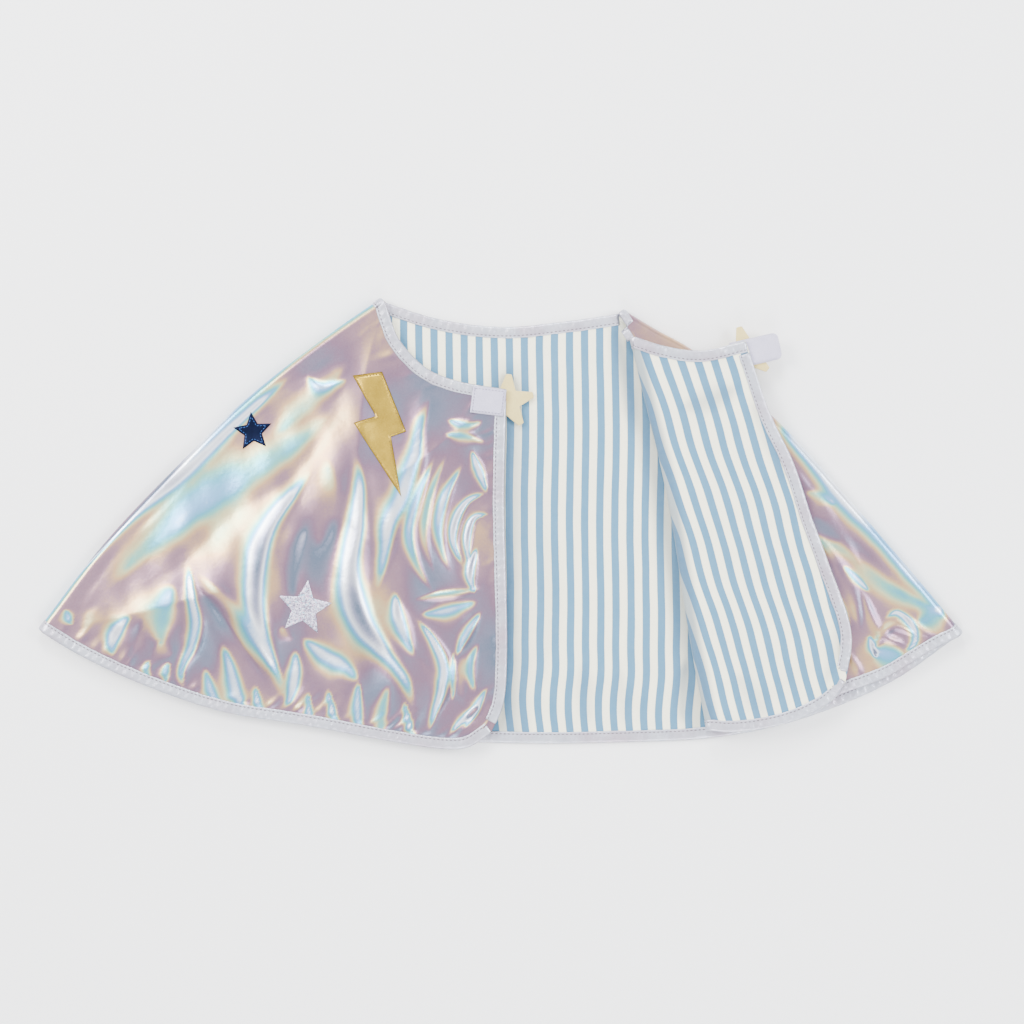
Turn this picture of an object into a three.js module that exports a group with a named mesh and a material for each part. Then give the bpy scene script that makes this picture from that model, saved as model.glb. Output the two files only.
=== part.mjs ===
// A child's short superhero cape, lying folded on a table: the back panel underneath with its lining
// up, the left front folded over it with its outer fabric up, and the right front folded over it and
// then turned back along a second fold so that its lining shows. Millimetres, X across, Y towards
// the neck, Z up. The origin is on the table under the middle of the cape.
import * as THREE from 'three';

// Driving dimensions. The outlines are drafted once and graded to this width and length.
const capeWidth = 692;           // hem corner to hem corner, folded
const capeLength = 336;          // shoulder to the lowest point of the hem
const draftWidth = 692;          // the size at which the outlines below are drawn
const draftLength = 336;

const outerThickness = 0.5;      // laminated holographic fabric
const liningThickness = 0.4;     // striped cotton
const plyGap = 0.6;              // air between the outer fabric and the lining
const bindingWidth = 8.5;        // folded width of the bias binding
const bindingThickness = 3.0;    // outside height of the folded binding
const bindingWall = 0.4;         // one ply of the binding
const bindingGap = 1.4;          // free space between a panel's edge and the bottom of the binding
const sideFoldRadius = 4.0;      // inside bend of the two side folds
const turnedFoldRadius = 3.0;    // bend of the right front where it is turned back
const hingeRise = 1.6;           // a fold line lies this far above the middle of its panel
const hingeGap = 0.8;            // the panels stop this far short of a fold line
const leftCrown = 10;            // how far the left front stands up off the back
const flapCrown = 4;             // how far the turned-back flap stands up
const tapeWidth = 20;            // hook-and-loop tape
const tapeThickness = 1.0;
const patchLength = 25;          // loop piece on the left front
const tabLength = 22;            // free end of the hook piece
const tabSewn = 14;              // end of the hook piece that is sewn to the flap
const tabCorner = 4;             // rounded corners of the hook piece
const cornerStarRadius = 20.5;   // padded stars behind the two neck corners
const cornerStarThickness = 2.0;
const blueStarRadius = 15;
const glitterStarRadius = 21;
const appliqueThickness = 0.6;
const boltWidth = 40;            // gold lightning bolt, overall
const boltLength = 93.5;
const clearance = 0.4;           // between sewn pieces that lie on each other
const seamGap = 0.5;             // between a flat panel and the bend that carries it on
const shoulderCurl = 24;         // length at the right shoulder where its two folds curl together
const flatMargin = 3;            // flat cloth between a binding and the start of a panel's crown
const crownRise = 100;           // distance over which a crown comes up
const starInner = 0.46;          // a foil star's inner corners, as a share of its radius
const feltInner = 0.5;           // the same of a padded star
const feltBlunt = 6;             // degrees between the two corners of a padded star's cut tip

const panelHalf = plyGap / 2 + outerThickness;
const backZ = bindingThickness / 2;
const frontZ = backZ + 2 * sideFoldRadius;
const flapZ = frontZ + 2 * turnedFoldRadius;
const up = new THREE.Vector3(0, 0, 1);

// ---- Drafting ---------------------------------------------------------------------------------

const grade = (x, y) => new THREE.Vector3(x * capeWidth / draftWidth, y * capeLength / draftLength, 0);

// A smooth outline through a few drafted points.
function outline(...points) {
  const curve = new THREE.CatmullRomCurve3(points.map(([x, y]) => grade(x, y)), false, 'centripetal');
  return (t) => curve.getPointAt(Math.min(Math.max(t, 0), 1));
}

const straight = (a, b) => (t) => a.clone().lerp(b, t);
const smooth = (t) => {
  const c = Math.min(Math.max(t, 0), 1);
  return c * c * (3 - 2 * c);
};
const steps = (n) => Array.from({ length: n + 1 }, (_, i) => i / n);

// Drafted corners: where each fold line or edge starts at the neck and ends at the hem.
const leftShoulder = [-90, 167];
const leftHemEnd = [-346, -80];
const rightShoulder = [90, 158.5];
const rightHemEnd = [344, -83];
const leftHingeNeck = [-82, 148];
const leftHingeHem = [-318, -98];
const rightHingeNeck = [103.5, 141];
const rightHingeHem = [322, -95];
const leftNeckCorner = [3.3, 99];
const leftHemCorner = [-8, -157];
const turnedNeck = [96, 137.5];
const turnedHem = [153.5, -156];
const flapHingeNeck = [104.5, 139];
const flapHingeHem = [163, -156.5];
const flapNeckCorner = [181.5, 135];
const flapHemCorner = [256, -119];

const leftFold = outline(leftShoulder, [-124, 143.5], [-187, 95], [-237, 47], [-296, -15], leftHemEnd);
const rightFold = outline(rightShoulder, [115, 143.5], [141.5, 128.6], [200, 80.6], [260, 15.4],
  [313, -46], rightHemEnd);

// The side fold of the right front starts below the curled shoulder.
const curlShare = shoulderCurl / rightFold(0).distanceTo(rightFold(1));
const rightSideFold = (t) => rightFold(curlShare + (1 - curlShare) * t);

const turnedFold = outline(turnedNeck, [108.3, 86], [118.4, 44.6], [127, 1.5], [140, -83], turnedHem);
const leftHinge = straight(grade(...leftHingeNeck), grade(...leftHingeHem));
const rightHinge = straight(grade(...rightHingeNeck), grade(...rightHingeHem));
const flapHinge = straight(grade(...flapHingeNeck), grade(...flapHingeHem));

// The direction, in the plane of the table, square to a fold line and away from the panel it bends.
function outward(hinge, side) {
  const along = hinge(1).sub(hinge(0)).normalize();
  return new THREE.Vector3(-along.y, along.x, 0).multiplyScalar(side);
}
const leftOut = outward(leftHinge, -1);
const rightOut = outward(rightHinge, 1);
const turnedOut = outward(flapHinge, -1);

// ---- Surfaces ---------------------------------------------------------------------------------
// A surface gives, at (u, v), the point half-way between the outer fabric and the lining and the
// direction of the outer fabric's face. u runs across the panel and v from the neck to the hem.

// A patch between four outlines, with its flat margin under the bindings and a crown inside it.
function panel({ neck, hem, from, to, z, crown = 0, face = 1 }) {
  const margin = bindingWidth + flatMargin;
  return (u, v) => {
    const side = from(v).lerp(to(v), u);
    const end = neck(u).lerp(hem(u), v);
    const corners = neck(0).lerp(neck(1), u).lerp(hem(0).lerp(hem(1), u), v);
    const point = side.add(end).sub(corners);
    const wide = from(v).distanceTo(to(v));
    const long = neck(u).distanceTo(hem(u));
    const lift = (t, size) => smooth((Math.min(t, 1 - t) * size - margin) / crownRise);
    point.z = z + crown * lift(u, wide) * lift(v, long);
    return { point, face: up.clone().multiplyScalar(face), wide, long };
  };
}

// The bend from one layer to the next: u from 0 to 1 is half a turn and from 1 to 2 is the strip
// on the upper layer that ends at the hinge line. hollow is -1 where the outer fabric is inside.
function bend({ fold, hinge, out, radius, z, hollow }) {
  return (u, v) => {
    const centre = fold(v).addScaledVector(out, -radius);
    const angle = Math.min(u, 1) * Math.PI;
    const point = centre.clone().addScaledVector(out, radius * Math.sin(angle));
    point.z = z + radius * (1 - Math.cos(angle));
    const face = out.clone().multiplyScalar(Math.sin(angle)).addScaledVector(up, -Math.cos(angle));
    if (u > 1) {
      const stop = hinge(v).addScaledVector(out, hingeGap);
      point.lerp(stop.setZ(point.z), u - 1);
    }
    const long = fold(0).distanceTo(fold(1));
    return { point, face: face.multiplyScalar(hollow), wide: 1, long };
  };
}

const leftBackEdge = (v) => leftFold(v).addScaledVector(leftOut, -sideFoldRadius - seamGap);
const rightBackEdge = (v) => rightFold(v).addScaledVector(rightOut, -sideFoldRadius - seamGap);
const turnedEdge = (v) => turnedFold(v).addScaledVector(turnedOut, -turnedFoldRadius - seamGap);
const inside = (hinge, out) => (v) => hinge(v).addScaledVector(out, -hingeGap);

// An outline whose ends are moved to meet the panels' own corners.
function between(curve, start, stop) {
  return (t) => {
    const point = curve(t);
    point.addScaledVector(start.clone().sub(curve(0)), 1 - t);
    return point.addScaledVector(stop.clone().sub(curve(1)), t);
  };
}

function between4(from, to, neck, hem, rest) {
  return panel({
    from, to,
    neck: between(neck, from(0), to(0)),
    hem: between(hem, from(1), to(1)),
    ...rest,
  });
}

const backPanel = between4(
  leftBackEdge, rightBackEdge,
  outline(leftShoulder, [-50, 155], [0, 148.8], [50, 153], rightShoulder),
  outline(leftHemEnd, [-275, -113], [-212, -136], [-100, -156], [0, -162.5], [90, -162],
    [165, -158], [222, -146], [293, -117.5], rightHemEnd),
  { z: backZ, face: -1 },
);

const leftFrontEdge = outline(leftNeckCorner, [1.5, 25.5], [1.3, -134], leftHemCorner);
const leftPanel = between4(
  inside(leftHinge, leftOut), leftFrontEdge,
  outline(leftHingeNeck, [-76.7, 136], [-57, 115.2], [-35.4, 105.8], leftNeckCorner),
  outline(leftHingeHem, [-275, -118.5], [-212, -140.6], [-148.8, -151.5], [-42.4, -169.4],
    [-25, -168], leftHemCorner),
  { z: frontZ, crown: leftCrown },
);

const rightPanel = between4(
  turnedEdge, inside(rightHinge, rightOut),
  outline(turnedNeck, rightHingeNeck),
  outline(turnedHem, [200, -147], [246, -130], [286, -115.4], rightHingeHem),
  { z: frontZ },
);

const flapFrontEdge = outline(flapNeckCorner, [200, 80.6], [217.5, 43.4], [230.6, 4.2], [243.6, -31.3],
  [260.4, -83.5], flapHemCorner);
const flapPanel = between4(
  inside(flapHinge, turnedOut), flapFrontEdge,
  outline(flapHingeNeck, [121.4, 131], [148.5, 127.7], flapNeckCorner),
  outline(flapHingeHem, [190, -154], [222.3, -145.4], [246.7, -131.6], flapHemCorner),
  { z: flapZ, crown: flapCrown, face: -1 },
);

const leftBend = bend({ fold: leftFold, hinge: leftHinge, out: leftOut, radius: sideFoldRadius,
  z: backZ, hollow: 1 });
const rightBend = bend({ fold: rightSideFold, hinge: rightHinge, out: rightOut, radius: sideFoldRadius,
  z: backZ, hollow: 1 });
const turnedBend = bend({ fold: turnedFold, hinge: flapHinge, out: turnedOut, radius: turnedFoldRadius,
  z: frontZ, hollow: -1 });

// ---- Solids -----------------------------------------------------------------------------------

// A closed solid from a unit box whose corner grid is moved by place(s, t, w), each from 0 to 1.
function bentBox(across, along, place) {
  const geometry = new THREE.BoxGeometry(1, 1, 1, across.length - 1, along.length - 1, 1);
  const at = geometry.attributes.position;
  for (let i = 0; i < at.count; i += 1) {
    const s = across[Math.round((at.getX(i) + 0.5) * (across.length - 1))];
    const t = along[Math.round((at.getY(i) + 0.5) * (along.length - 1))];
    at.setXYZ(i, ...place(s, t, at.getZ(i) + 0.5));
  }
  return facingOut(geometry);
}

// Turns a closed geometry's triangles round if its volume comes out negative.
function facingOut(geometry) {
  const solid = geometry.index ? geometry.toNonIndexed() : geometry;
  const at = solid.attributes.position;
  const corner = (i) => new THREE.Vector3().fromBufferAttribute(at, i);
  let volume = 0;
  for (let i = 0; i < at.count; i += 3) {
    volume += corner(i).dot(corner(i + 1).cross(corner(i + 2)));
  }
  if (volume < 0) {
    for (let i = 0; i < at.count; i += 3) {
      const second = corner(i + 1);
      const third = corner(i + 2);
      at.setXYZ(i + 1, ...third);
      at.setXYZ(i + 2, ...second);
    }
  }
  solid.deleteAttribute('uv');
  solid.computeVertexNormals();
  return solid;
}

// One ply of cloth on a surface, from near to far along its face direction. It stops short of the
// bottom of the binding at the neck and the hem, and at the front edge of a panel that has one.
function ply(surface, across, along, near, far, frontBound) {
  const stop = bindingWall + bindingGap;
  return bentBox(across, along, (u, v, w) => {
    const here = surface(u, v);
    const last = frontBound ? stop / here.wide : 0;
    const top = stop / here.long;
    const { point, face } = surface(u * (1 - last), top + v * (1 - 2 * top));
    return point.addScaledVector(face, near + w * (far - near));
  });
}

const outerPly = (surface, across, along, frontBound) =>
  ply(surface, across, along, plyGap / 2, plyGap / 2 + outerThickness, frontBound);
const liningPly = (surface, across, along, frontBound) =>
  ply(surface, across, along, -plyGap / 2 - liningThickness, -plyGap / 2, frontBound);

// The section of a folded binding: in from the edge, and up or down from the middle of the panel.
const half = bindingThickness / 2;
const channel = [
  [0, -half], [bindingWidth, -half], [bindingWidth, bindingWall - half], [bindingWall, bindingWall - half],
  [bindingWall, half - bindingWall], [bindingWidth, half - bindingWall], [bindingWidth, half], [0, half],
];

// A binding swept along one edge of a surface: place(t, inwards) gives the surface there.
function binding(samples, place) {
  const rings = samples.map((t) => channel.map(([inwards, height]) => {
    const { point, face } = place(t, inwards);
    return point.addScaledVector(face, height);
  }));
  return sweep(rings, THREE.ShapeUtils.triangulateShape(channel.map(([x, y]) => new THREE.Vector2(x, y)), []));
}

// Joins a row of matching rings into a closed solid, with the given triangles as its two ends.
function sweep(rings, cap) {
  const n = rings[0].length;
  const corners = [];
  const triangle = (a, b, c) => corners.push(...a, ...b, ...c);
  for (let i = 0; i + 1 < rings.length; i += 1) {
    for (let j = 0; j < n; j += 1) {
      const k = (j + 1) % n;
      triangle(rings[i][j], rings[i][k], rings[i + 1][k]);
      triangle(rings[i][j], rings[i + 1][k], rings[i + 1][j]);
    }
  }
  const first = rings[0];
  const last = rings[rings.length - 1];
  for (const [a, b, c] of cap) {
    triangle(first[c], first[b], first[a]);
    triangle(last[a], last[b], last[c]);
  }
  const geometry = new THREE.BufferGeometry();
  geometry.setAttribute('position', new THREE.Float32BufferAttribute(corners, 3));
  return facingOut(geometry);
}

const neckBinding = (surface, across) => binding(across, (u, inwards) =>
  surface(u, inwards / surface(u, 0).long));
const hemBinding = (surface, across) => binding(across, (u, inwards) =>
  surface(u, 1 - inwards / surface(u, 1).long));

// The binding down a front edge fits between the neck binding and the hem binding.
function frontBinding(surface, along) {
  return binding(along, (t, inwards) => {
    const { long } = surface(1, t);
    const end = (bindingWidth + clearance) / long;
    const v = end + t * (1 - 2 * end);
    return surface(1 - inwards / surface(1, v).wide, v);
  });
}

// A flat piece cut to an outline, turned, and moved to a place on the cape.
function cutPiece(shape, thickness, place, turn) {
  const geometry = new THREE.ExtrudeGeometry(shape, { depth: thickness, bevelEnabled: false, curveSegments: 5 });
  geometry.rotateZ(turn);
  geometry.translate(place.x, place.y, place.z);
  return geometry;
}

// The height of a surface at a place on the table, found by walking (u, v) towards it.
function heightAt(surface, x, y) {
  const spot = new THREE.Vector2(0.5, 0.5);
  const nudge = 1e-4;
  const walks = 12;
  for (let i = 0; i < walks; i += 1) {
    const here = surface(spot.x, spot.y).point;
    const u = surface(spot.x + nudge, spot.y).point.sub(here).divideScalar(nudge);
    const v = surface(spot.x, spot.y + nudge).point.sub(here).divideScalar(nudge);
    const area = u.x * v.y - u.y * v.x;
    const dx = x - here.x;
    const dy = y - here.y;
    spot.x += (dx * v.y - dy * v.x) / area;
    spot.y += (dy * u.x - dx * u.y) / area;
  }
  return surface(spot.x, spot.y).point.z;
}

// A thin flat piece laid on a crowned panel: it takes the panel's slope between points the given
// reach away from its middle, and lies as low as the panel under its outline allows.
function laidPiece(shape, thickness, place, turn, reach, surface) {
  const geometry = cutPiece(shape, thickness, place, turn);
  const at = geometry.attributes.position;
  const height = (x, y) => heightAt(surface, x, y);
  const slopeX = (height(place.x + reach, place.y) - height(place.x - reach, place.y)) / (2 * reach);
  const slopeY = (height(place.x, place.y + reach) - height(place.x, place.y - reach)) / (2 * reach);
  const plane = (x, y) => slopeX * (x - place.x) + slopeY * (y - place.y);
  let base = 0;
  for (let i = 0; i < at.count; i += 1) {
    for (const share of steps(4)) {
      const x = place.x + share * (at.getX(i) - place.x);
      const y = place.y + share * (at.getY(i) - place.y);
      base = Math.max(base, height(x, y) - plane(x, y));
    }
  }
  base += panelHalf + clearance;
  for (let i = 0; i < at.count; i += 1) {
    at.setZ(i, at.getZ(i) + base + plane(at.getX(i), at.getY(i)));
  }
  return facingOut(geometry);
}

function starShape(radius, inner, blunt) {
  const shape = new THREE.Shape();
  const at = (r, a) => [r * Math.cos(a), r * Math.sin(a)];
  for (let i = 0; i < 5; i += 1) {
    const a = Math.PI / 2 + i * 2 * Math.PI / 5;
    const tip = [at(radius, a - blunt), at(radius, a + blunt)];
    const points = blunt > 0 ? tip : [tip[0]];
    for (const p of points) {
      if (i === 0 && p === points[0]) {
        shape.moveTo(...p);
      } else {
        shape.lineTo(...p);
      }
    }
    shape.lineTo(...at(inner, a + Math.PI / 5));
  }
  shape.closePath();
  return shape;
}

// The bolt's corners as shares of its width and length, from its top left.
function boltShape(width, length) {
  const corners = [[0, 0.03], [0.55, 0], [1, 0.477], [0.72, 0.52], [0.92, 1], [0.03, 0.41], [0.44, 0.355]];
  return new THREE.Shape(corners.map(([x, y]) => new THREE.Vector2((x - 0.5) * width, (0.5 - y) * length)));
}

// A length of tape from x = 0 to its length, with its far corners rounded by r.
function tapeShape(length, width, r) {
  const shape = new THREE.Shape();
  const y = width / 2;
  shape.moveTo(0, -y);
  shape.lineTo(length - r, -y);
  if (r > 0) {
    shape.absarc(length - r, r - y, r, -Math.PI / 2, 0);
    shape.absarc(length - r, y - r, r, 0, Math.PI / 2);
  } else {
    shape.lineTo(length, y);
  }
  shape.lineTo(0, y);
  shape.closePath();
  return shape;
}

// ---- The cape ---------------------------------------------------------------------------------

const finishes = {
  outer: { color: 0xb9c4d6, roughness: 0.25, metalness: 0.9 },
  lining: { color: 0xc6dde6, roughness: 0.85, metalness: 0 },
  binding: { color: 0xc8c3cd, roughness: 0.35, metalness: 0.7 },
  tape: { color: 0xd7d4e6, roughness: 0.9, metalness: 0 },
  felt: { color: 0xe6d7af, roughness: 0.95, metalness: 0 },
  gold: { color: 0xc8af6e, roughness: 0.35, metalness: 0.8 },
  navy: { color: 0x001955, roughness: 0.25, metalness: 0.8 },
  glitter: { color: 0xdcd7e4, roughness: 0.5, metalness: 0.5 },
};

const cape = new THREE.Group();

function add(name, geometry, finish) {
  const mesh = new THREE.Mesh(geometry, new THREE.MeshStandardMaterial(finishes[finish]));
  mesh.name = name;
  cape.add(mesh);
}

function addPlies(place, surface, across, along, frontBound = false) {
  add(`outer_${place}`, outerPly(surface, across, along, frontBound), 'outer');
  add(`lining_${place}`, liningPly(surface, across, along, frontBound), 'lining');
}

// Every panel has the same steps from neck to hem, so that neighbours keep their gap all the way.
const downSteps = steps(14);
const bendSteps = [...steps(5), 1.5, 2];
const wideSteps = steps(14);
const flapSteps = steps(8);
const rightSteps = steps(6);

addPlies('back', backPanel, wideSteps, downSteps);
addPlies('left_side', leftBend, bendSteps, downSteps);
addPlies('right_side', rightBend, bendSteps, downSteps);
addPlies('left_front', leftPanel, wideSteps, downSteps, true);
addPlies('right_front', rightPanel, rightSteps, downSteps);
addPlies('turned_fold', turnedBend, bendSteps, downSteps);
addPlies('right_flap', flapPanel, flapSteps, downSteps, true);

function addNeckAndHem(place, surface, neckSteps, hemSteps) {
  add(`neck_binding_${place}`, neckBinding(surface, neckSteps), 'binding');
  add(`hem_binding_${place}`, hemBinding(surface, hemSteps), 'binding');
}

addNeckAndHem('back', backPanel, wideSteps, steps(28));
addNeckAndHem('left_side', leftBend, bendSteps, bendSteps);
addNeckAndHem('right_side', rightBend, bendSteps, bendSteps);
addNeckAndHem('left_front', leftPanel, wideSteps, steps(28));
addNeckAndHem('right_front', rightPanel, rightSteps, steps(12));
addNeckAndHem('turned_fold', turnedBend, bendSteps, bendSteps);
addNeckAndHem('right_flap', flapPanel, flapSteps, steps(16));
add('front_binding_left', frontBinding(leftPanel, downSteps), 'binding');
add('front_binding_flap', frontBinding(flapPanel, downSteps), 'binding');

const onBinding = bindingThickness / 2 + clearance;
const degrees = Math.PI / 180;

function place(x, y, z = 0) {
  return grade(x, y).setZ(z);
}

// Padded stars sewn to the underside of the two neck corners, half hidden behind them.
const padStar = starShape(cornerStarRadius, feltInner * cornerStarRadius, feltBlunt * degrees);
const underLeft = frontZ - onBinding - cornerStarThickness;
const underTab = flapZ - onBinding - tapeThickness;
const underFlap = underTab - clearance - cornerStarThickness;
const leftStar = cutPiece(padStar, cornerStarThickness, place(3.7, 90.3, underLeft), -4 * degrees);
const rightStar = cutPiece(padStar, cornerStarThickness, place(182.5, 126.2, underFlap), 16 * degrees);
add('left_star', facingOut(leftStar), 'felt');
add('right_star', facingOut(rightStar), 'felt');

// The loop piece lies along the left front's neck binding, from the front edge inwards.
const patch = tapeShape(patchLength, tapeWidth, 0);
const patchTurn = 173 * degrees;
const patchAt = place(2.2, 88.8, frontZ + onBinding);
add('loop_patch', facingOut(cutPiece(patch, tapeThickness, patchAt, patchTurn)), 'tape');

// The hook piece is one tape: its root is sewn under the flap's corner and its free end sticks out.
const tabTurn = 13 * degrees;
const tabRoot = place(185.4, 126.9, underTab);
const sewnTape = tapeShape(tabSewn, tapeWidth, 0);
const freeTape = tapeShape(tabLength, tapeWidth, tabCorner);
const tabEnd = new THREE.Vector3(Math.cos(tabTurn), Math.sin(tabTurn), 0).multiplyScalar(clearance);
add('hook_tab_root', facingOut(cutPiece(sewnTape, tapeThickness, tabRoot, tabTurn + Math.PI)), 'tape');
add('hook_tab', facingOut(cutPiece(freeTape, tapeThickness, tabRoot.clone().add(tabEnd), tabTurn)), 'tape');

// Appliques.
const bolt = boltShape(boltWidth, boltLength);
const smallStar = starShape(blueStarRadius, starInner * blueStarRadius, 0);
const largeStar = starShape(glitterStarRadius, starInner * glitterStarRadius, 0);
const onLeftSide = frontZ + panelHalf + clearance;
const blueStar = cutPiece(smallStar, appliqueThickness, place(-186, 67.5, onLeftSide), 6 * degrees);
const boltReach = 0.4 * boltLength;
add('gold_bolt', laidPiece(bolt, appliqueThickness, place(-91.5, 65.5), 0, boltReach, leftPanel), 'gold');
add('glitter_star', laidPiece(largeStar, appliqueThickness, place(-147, -63.8), -8 * degrees,
  glitterStarRadius, leftPanel), 'glitter');
add('blue_star', facingOut(blueStar), 'navy');

// The origin goes under the middle of the cape, on the table.
const extent = new THREE.Box3().setFromObject(cape, true);
const middle = extent.getCenter(new THREE.Vector3());
cape.position.set(-middle.x, -middle.y, -extent.min.z);

export default cape;
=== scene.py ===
import math

import bmesh
import bpy
import numpy as np
from mathutils import Matrix, Vector
from mathutils import noise as noise_field
from mathutils.bvhtree import BVHTree


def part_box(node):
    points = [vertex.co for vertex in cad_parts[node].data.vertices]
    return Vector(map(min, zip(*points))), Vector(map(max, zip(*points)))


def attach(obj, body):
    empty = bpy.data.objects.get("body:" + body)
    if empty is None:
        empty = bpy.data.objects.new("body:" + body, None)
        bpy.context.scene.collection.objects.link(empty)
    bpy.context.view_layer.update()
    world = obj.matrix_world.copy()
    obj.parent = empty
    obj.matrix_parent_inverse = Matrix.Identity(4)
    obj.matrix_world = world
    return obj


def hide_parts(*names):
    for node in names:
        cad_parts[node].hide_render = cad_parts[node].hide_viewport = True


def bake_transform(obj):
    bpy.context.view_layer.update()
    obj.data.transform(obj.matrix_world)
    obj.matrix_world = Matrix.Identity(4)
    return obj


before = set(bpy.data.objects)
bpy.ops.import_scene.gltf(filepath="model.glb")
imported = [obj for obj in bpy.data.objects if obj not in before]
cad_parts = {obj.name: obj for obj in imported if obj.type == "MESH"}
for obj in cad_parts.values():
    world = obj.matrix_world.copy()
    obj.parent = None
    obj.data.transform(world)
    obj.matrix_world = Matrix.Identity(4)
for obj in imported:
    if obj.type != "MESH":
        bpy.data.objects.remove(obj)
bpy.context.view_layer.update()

# ---- Back panel -------------------------------------------------------------------------------
# The back lies on the table with its holographic outer fabric down and its striped cotton lining
# up. Both plies are cut to one outline, whose two sides run on into the folded-over fronts.

MM = 0.001
pattern_origin = np.array([0.9925, 0.8679])  # the cape's middle, in the drafted pattern


def edge(*points):
    """A smooth outline through drafted points in mm, as a function of the share of its length."""
    p = np.array(points, float) + pattern_origin
    p = np.vstack([2 * p[0] - p[1], p, 2 * p[-1] - p[-2]])
    line = []
    for four in zip(p, p[1:], p[2:], p[3:]):
        gaps = [math.sqrt(max(np.linalg.norm(b - a), 1e-6)) for a, b in zip(four, four[1:])]
        knot = np.concatenate([[0], np.cumsum(gaps)])
        t = np.linspace(knot[1], knot[2], 40)[:, None]
        level = list(four)
        for width in (1, 2, 3):
            if width < 3:
                level = [(level[i] * (knot[i + width] - t) + level[i + 1] * (t - knot[i]))
                         / (knot[i + width] - knot[i]) for i in range(len(level) - 1)]
            else:
                level = [(level[0] * (knot[2] - t) + level[1] * (t - knot[1])) / (knot[2] - knot[1])]
        line.append(level[0])
    line = np.vstack(line)
    along = np.concatenate([[0], np.cumsum(np.linalg.norm(np.diff(line, axis=0), axis=1))])
    along /= along[-1]
    return lambda t: np.stack([np.interp(t, along, line[:, k]) for k in (0, 1)], axis=-1)


def square_to(start, end, side):
    along = np.subtract(end, start)
    return np.array([-along[1], along[0]]) / np.linalg.norm(along) * side


def inset(line, out, distance):
    return lambda t: line(t) - out * distance


def smooth(t):
    t = np.clip(t, 0, 1)
    return t * t * (3 - 2 * t)


def panel(start, stop, neck, hem, z, columns, rows):
    """Rows of points, neck to hem, on the flat shape between two side lines, a neck and a hem."""
    v, u = np.meshgrid(np.linspace(0, 1, rows), np.linspace(0, 1, columns), indexing="ij")
    ends = np.array([[side(np.full(1, at_end))[0] for side in (start, stop)] for at_end in (0.0, 1.0)])
    u, v = u[..., None], v[..., None]
    fitted = []
    for row, line in enumerate((neck, hem)):
        here = line(u[..., 0])
        first, last = line(np.zeros(1))[0], line(np.ones(1))[0]
        fitted.append(here + (1 - u) * (ends[row][0] - first) + u * (ends[row][1] - last))
    sides = (1 - u) * start(v[..., 0]) + u * stop(v[..., 0])
    across = (1 - v) * fitted[0] + v * fitted[1]
    corners = (1 - v) * ((1 - u) * ends[0][0] + u * ends[0][1]) + v * ((1 - u) * ends[1][0] + u * ends[1][1])
    flat = sides + across - corners
    return np.dstack([flat, np.full(flat.shape[:2], float(z))])


def facing(grid, up):
    """Unit vectors square to a grid of points; up is the height's sign at its last column."""
    n = np.cross(np.gradient(grid, axis=0), np.gradient(grid, axis=1))
    n /= np.maximum(np.linalg.norm(n, axis=2, keepdims=True), 1e-9)
    middle = n[len(n) // 2, -len(n[0]) // 3]
    return n * (1 if middle[2] * up > 0 else -1)


def level_of(node):
    low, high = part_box(node)
    return (low[2] + high[2]) / 2 / MM


back_z = level_of("hem_binding_back")
front_z = level_of("hem_binding_left_front")
flap_z = level_of("hem_binding_right_flap")
side_bend = (front_z - back_z) / 2
turned_bend = (flap_z - front_z) / 2

left_hinge = np.array([[-82, 148], [-318, -98]]) + pattern_origin
right_hinge = np.array([[103.5, 141], [322, -95]]) + pattern_origin
flap_hinge = np.array([[104.5, 139], [163, -156.5]]) + pattern_origin
left_out = square_to(*left_hinge, -1)
right_out = square_to(*right_hinge, 1)
turned_out = square_to(*flap_hinge, -1)
left_fold = edge((-90, 167), (-124, 143.5), (-187, 95), (-237, 47), (-296, -15), (-346, -80))
right_fold = edge((90, 158.5), (115, 143.5), (141.5, 128.6), (200, 80.6), (260, 15.4), (313, -46), (344, -83))
turned_fold = edge((96, 137.5), (108.3, 86), (118.4, 44.6), (127, 1.5), (140, -83), (153.5, -156))
left_centre = inset(left_fold, left_out, side_bend)
right_centre = inset(right_fold, right_out, side_bend)
turned_centre = inset(turned_fold, turned_out, turned_bend)


def wave(x, y, length, turn, phase):
    """A long soft undulation, from -1 to 1, running the way given in degrees."""
    a = math.radians(turn)
    return np.sin((x * math.cos(a) + y * math.sin(a)) * 2 * math.pi / length + phase)


def crumple(grid, size, seed):
    """A smooth irregular field, from about -1 to 1, whose lumps are of the size given in mm."""
    flat = grid[..., :2].reshape(-1, 2) / size
    lumps = np.array([noise_field.noise(Vector((px, py, seed))) for px, py in flat])
    return lumps.reshape(grid.shape[:2]) * 1.4


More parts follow.
